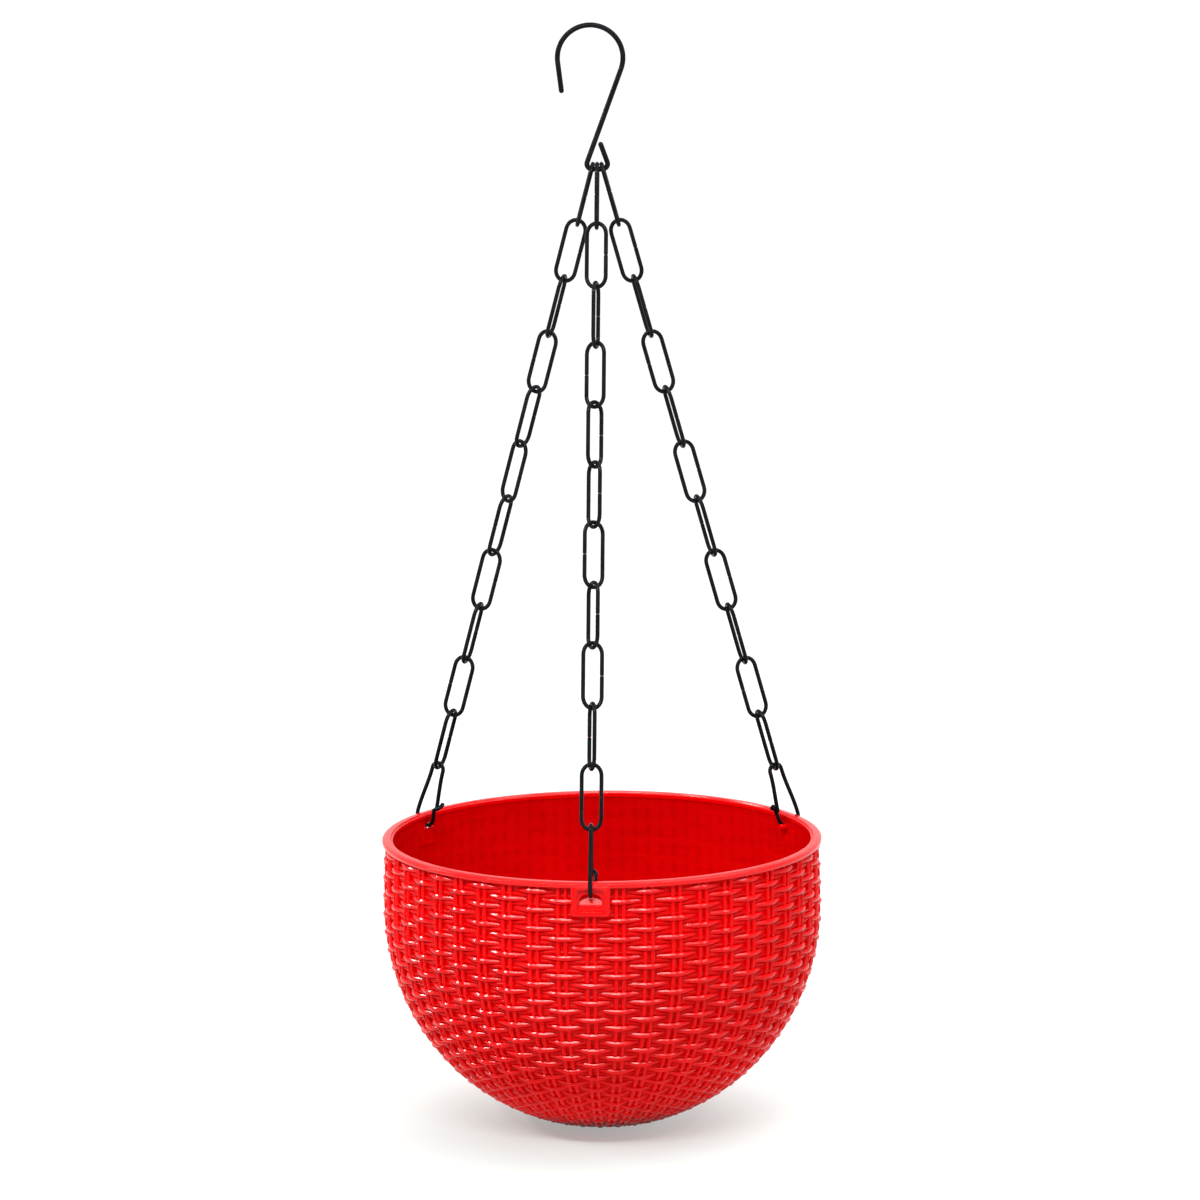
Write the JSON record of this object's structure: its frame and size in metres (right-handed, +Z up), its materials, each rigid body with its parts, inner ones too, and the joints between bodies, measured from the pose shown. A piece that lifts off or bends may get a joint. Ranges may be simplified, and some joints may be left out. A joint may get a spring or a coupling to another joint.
{
  "type": "hanging basket planter",
  "caption": "Round-bottomed moulded plastic hanging basket with a woven look, hung from a bent wire hook by link chains that clip through windows under its rim.",
  "frame": {"origin": "inside of the top hook's bend, at the point that rests on whatever holds the planter", "axes": "+Z up, -Y to the front of the picture, +X to its right"},
  "size_m": [0.2226, 0.2252, 0.5544],
  "materials": {
    "black_wire": "gloss black coated wire",
    "red_plastic": "gloss red moulded plastic"
  },
  "bodies": {
    "hook": {"top_hook": "black_wire"},
    "basket": {"basket": "red_plastic"},
    "front_link_01": {"front_link_01": "black_wire"},
    "front_link_02": {"front_link_02": "black_wire"},
    "front_link_03": {"front_link_03": "black_wire"},
    "front_link_04": {"front_link_04": "black_wire"},
    "front_link_05": {"front_link_05": "black_wire"},
    "front_link_06": {"front_link_06": "black_wire"},
    "front_link_07": {"front_link_07": "black_wire"},
    "front_link_08": {"front_link_08": "black_wire"},
    "front_link_09": {"front_link_09": "black_wire"},
    "front_link_10": {"front_link_10": "black_wire"},
    "front_link_11": {"front_link_11": "black_wire"},
    "front_clip": {"front_clip": "black_wire"},
    "right_link_01": {"right_link_01": "black_wire"},
    "right_link_02": {"right_link_02": "black_wire"},
    "right_link_03": {"right_link_03": "black_wire"},
    "right_link_04": {"right_link_04": "black_wire"},
    "right_link_05": {"right_link_05": "black_wire"},
    "right_link_06": {"right_link_06": "black_wire"},
    "right_link_07": {"right_link_07": "black_wire"},
    "right_link_08": {"right_link_08": "black_wire"},
    "right_link_09": {"right_link_09": "black_wire"},
    "right_link_10": {"right_link_10": "black_wire"},
    "right_link_11": {"right_link_11": "black_wire"},
    "right_clip": {"right_clip": "black_wire"},
    "left_link_01": {"left_link_01": "black_wire"},
    "left_link_02": {"left_link_02": "black_wire"},
    "left_link_03": {"left_link_03": "black_wire"},
    "left_link_04": {"left_link_04": "black_wire"},
    "left_link_05": {"left_link_05": "black_wire"},
    "left_link_06": {"left_link_06": "black_wire"},
    "left_link_07": {"left_link_07": "black_wire"},
    "left_link_08": {"left_link_08": "black_wire"},
    "left_link_09": {"left_link_09": "black_wire"},
    "left_link_10": {"left_link_10": "black_wire"},
    "left_link_11": {"left_link_11": "black_wire"},
    "left_clip": {"left_clip": "black_wire"}
  },
  "joints": [
    {"name": "basket_swing", "type": "hinge", "parent": "hook", "child": "basket", "pos_m": [0, 0, -0.0701], "axis": [1, 0, 0], "range_deg": [-18, 18]},
    {"name": "front_link_01_turn", "type": "hinge", "parent": "basket", "child": "front_link_01", "pos_m": [-0.00024, -0.00451, -0.0829], "axis": [0.0158, 0.3015, 0.9533], "range_deg": [-5, 5]},
    {"name": "front_link_02_turn", "type": "hinge", "parent": "basket", "child": "front_link_02", "pos_m": [-0.00071, -0.01352, -0.11141], "axis": [0.0158, 0.3015, 0.9533], "range_deg": [-7, 15]},
    {"name": "front_link_03_turn", "type": "hinge", "parent": "basket", "child": "front_link_03", "pos_m": [-0.00118, -0.02253, -0.13991], "axis": [0.0158, 0.3015, 0.9533], "range_deg": [-15, 4]},
    {"name": "front_link_04_turn", "type": "hinge", "parent": "basket", "child": "front_link_04", "pos_m": [-0.00165, -0.03155, -0.16842], "axis": [0.0158, 0.3015, 0.9533], "range_deg": [-4, 6]},
    {"name": "front_link_05_turn", "type": "hinge", "parent": "basket", "child": "front_link_05", "pos_m": [-0.00213, -0.04056, -0.19692], "axis": [0.0158, 0.3015, 0.9533], "range_deg": [-6, 6]},
    {"name": "front_link_06_turn", "type": "hinge", "parent": "basket", "child": "front_link_06", "pos_m": [-0.0026, -0.04958, -0.22543], "axis": [0.0158, 0.3015, 0.9533], "range_deg": [-6, 9]},
    {"name": "front_link_07_turn", "type": "hinge", "parent": "basket", "child": "front_link_07", "pos_m": [-0.00307, -0.05859, -0.25393], "axis": [0.0158, 0.3015, 0.9533], "range_deg": [-9, 15]},
    {"name": "front_link_08_turn", "type": "hinge", "parent": "basket", "child": "front_link_08", "pos_m": [-0.00354, -0.0676, -0.28244], "axis": [0.0158, 0.3015, 0.9533], "range_deg": [-15, 10]},
    {"name": "front_link_09_turn", "type": "hinge", "parent": "basket", "child": "front_link_09", "pos_m": [-0.00402, -0.07662, -0.31094], "axis": [0.0158, 0.3015, 0.9533], "range_deg": [-10, 15]},
    {"name": "front_link_10_turn", "type": "hinge", "parent": "basket", "child": "front_link_10", "pos_m": [-0.00449, -0.08563, -0.33945], "axis": [0.0158, 0.3015, 0.9533], "range_deg": [-15, 7]},
    {"name": "front_link_11_turn", "type": "hinge", "parent": "basket", "child": "front_link_11", "pos_m": [-0.00496, -0.09464, -0.36795], "axis": [0.0158, 0.3015, 0.9533], "range_deg": [-7, 15]},
    {"name": "front_clip_turn", "type": "hinge", "parent": "basket", "child": "front_clip", "pos_m": [-0.00564, -0.10765, -0.40909], "axis": [0.0158, 0.3015, 0.9533], "range_deg": [-9, 9]},
    {"name": "right_link_01_turn", "type": "hinge", "parent": "basket", "child": "right_link_01", "pos_m": [0.00637, 0.00205, -0.0829], "axis": [-0.2626, -0.1373, 0.9551], "range_deg": [-5, 5]},
    {"name": "right_link_02_turn", "type": "hinge", "parent": "basket", "child": "right_link_02", "pos_m": [0.0142, 0.00615, -0.1114], "axis": [-0.2626, -0.1373, 0.9551], "range_deg": [-15, 11]},
    {"name": "right_link_03_turn", "type": "hinge", "parent": "basket", "child": "right_link_03", "pos_m": [0.02204, 0.01024, -0.1399], "axis": [-0.2626, -0.1373, 0.9551], "range_deg": [-15, 15]},
    {"name": "right_link_04_turn", "type": "hinge", "parent": "basket", "child": "right_link_04", "pos_m": [0.02988, 0.01434, -0.1684], "axis": [-0.2626, -0.1373, 0.9551], "range_deg": [-15, 15]},
    {"name": "right_link_05_turn", "type": "hinge", "parent": "basket", "child": "right_link_05", "pos_m": [0.03771, 0.01844, -0.1969], "axis": [-0.2626, -0.1373, 0.9551], "range_deg": [-15, 15]},
    {"name": "right_link_06_turn", "type": "hinge", "parent": "basket", "child": "right_link_06", "pos_m": [0.04555, 0.02253, -0.2254], "axis": [-0.2626, -0.1373, 0.9551], "range_deg": [-15, 15]},
    {"name": "right_link_07_turn", "type": "hinge", "parent": "basket", "child": "right_link_07", "pos_m": [0.05338, 0.02663, -0.2539], "axis": [-0.2626, -0.1373, 0.9551], "range_deg": [-15, 14]},
    {"name": "right_link_08_turn", "type": "hinge", "parent": "basket", "child": "right_link_08", "pos_m": [0.06122, 0.03073, -0.28241], "axis": [-0.2626, -0.1373, 0.9551], "range_deg": [-14, 15]},
    {"name": "right_link_09_turn", "type": "hinge", "parent": "basket", "child": "right_link_09", "pos_m": [0.06906, 0.03483, -0.3109], "axis": [-0.2626, -0.1373, 0.9551], "range_deg": [-15, 15]},
    {"name": "right_link_10_turn", "type": "hinge", "parent": "basket", "child": "right_link_10", "pos_m": [0.07689, 0.03892, -0.33941], "axis": [-0.2626, -0.1373, 0.9551], "range_deg": [-15, 15]},
    {"name": "right_link_11_turn", "type": "hinge", "parent": "basket", "child": "right_link_11", "pos_m": [0.08473, 0.04302, -0.36791], "axis": [-0.2626, -0.1373, 0.9551], "range_deg": [-15, 15]},
    {"name": "right_clip_turn", "type": "hinge", "parent": "basket", "child": "right_clip", "pos_m": [0.09605, 0.04894, -0.40909], "axis": [-0.2626, -0.1373, 0.9551], "range_deg": [-9, 9]},
    {"name": "left_link_01_turn", "type": "hinge", "parent": "basket", "child": "left_link_01", "pos_m": [-0.00613, 0.00246, -0.0829], "axis": [0.2467, -0.1647, 0.955], "range_deg": [-5, 5]},
    {"name": "left_link_02_turn", "type": "hinge", "parent": "basket", "child": "left_link_02", "pos_m": [-0.0135, 0.00737, -0.1114], "axis": [0.2467, -0.1647, 0.955], "range_deg": [-11, 11]},
    {"name": "left_link_03_turn", "type": "hinge", "parent": "basket", "child": "left_link_03", "pos_m": [-0.02086, 0.01229, -0.1399], "axis": [0.2467, -0.1647, 0.955], "range_deg": [-11, 9]},
    {"name": "left_link_04_turn", "type": "hinge", "parent": "basket", "child": "left_link_04", "pos_m": [-0.02822, 0.0172, -0.1684], "axis": [0.2467, -0.1647, 0.955], "range_deg": [-9, 7]},
    {"name": "left_link_05_turn", "type": "hinge", "parent": "basket", "child": "left_link_05", "pos_m": [-0.03559, 0.02212, -0.1969], "axis": [0.2467, -0.1647, 0.955], "range_deg": [-7, 11]},
    {"name": "left_link_06_turn", "type": "hinge", "parent": "basket", "child": "left_link_06", "pos_m": [-0.04295, 0.02703, -0.2254], "axis": [0.2467, -0.1647, 0.955], "range_deg": [-6, 15]},
    {"name": "left_link_07_turn", "type": "hinge", "parent": "basket", "child": "left_link_07", "pos_m": [-0.05031, 0.03195, -0.25391], "axis": [0.2467, -0.1647, 0.955], "range_deg": [-9, 6]},
    {"name": "left_link_08_turn", "type": "hinge", "parent": "basket", "child": "left_link_08", "pos_m": [-0.05768, 0.03686, -0.28241], "axis": [0.2467, -0.1647, 0.955], "range_deg": [-15, 9]},
    {"name": "left_link_09_turn", "type": "hinge", "parent": "basket", "child": "left_link_09", "pos_m": [-0.06504, 0.04178, -0.31091], "axis": [0.2467, -0.1647, 0.955], "range_deg": [-15, 15]},
    {"name": "left_link_10_turn", "type": "hinge", "parent": "basket", "child": "left_link_10", "pos_m": [-0.0724, 0.0467, -0.33941], "axis": [0.2467, -0.1647, 0.955], "range_deg": [-15, 13]},
    {"name": "left_link_11_turn", "type": "hinge", "parent": "basket", "child": "left_link_11", "pos_m": [-0.07977, 0.05161, -0.36791], "axis": [0.2467, -0.1647, 0.955], "range_deg": [-13, 15]},
    {"name": "left_clip_turn", "type": "hinge", "parent": "basket", "child": "left_clip", "pos_m": [-0.09041, 0.05871, -0.40909], "axis": [0.2467, -0.1647, 0.955], "range_deg": [-9, 9]}
  ]
}
